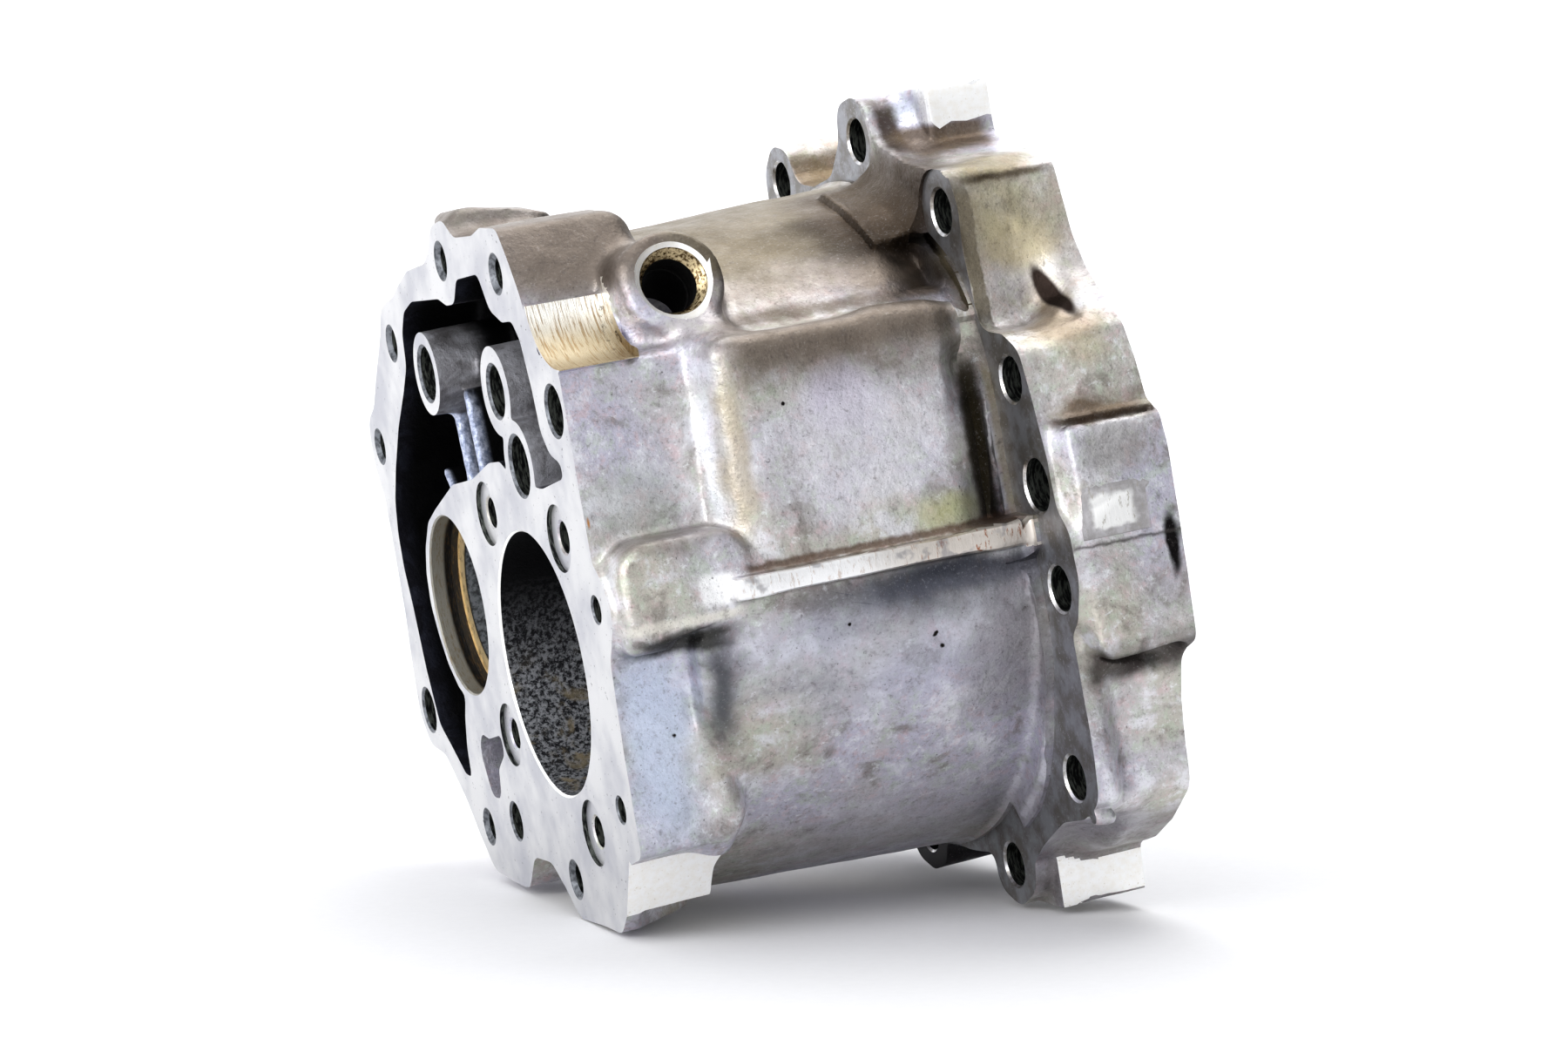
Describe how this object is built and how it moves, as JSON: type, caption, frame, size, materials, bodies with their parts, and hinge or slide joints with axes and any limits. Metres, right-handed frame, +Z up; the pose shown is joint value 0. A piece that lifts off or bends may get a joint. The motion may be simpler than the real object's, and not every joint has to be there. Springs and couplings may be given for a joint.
{
  "type": "gearbox housing",
  "caption": "Bare cast gearbox housing: flat joint face with two bearing bores and a ribbed hollow, round barrel with a side panel and threaded port, and a lugged rear flange.",
  "frame": {"origin": "centre of the main bearing bore, on the front joint face", "axes": "+X towards the rear flange, level (the shafts rise 9.14 degrees from it); +Y across the casting, away from the panel and port side; +Z up as it lies"},
  "size_m": [0.1758, 0.241, 0.2266],
  "materials": {
    "casting": "as cast and stained, with bright milled faces"
  },
  "bodies": {
    "root": {"housing": "casting"}
  },
  "joints": []
}
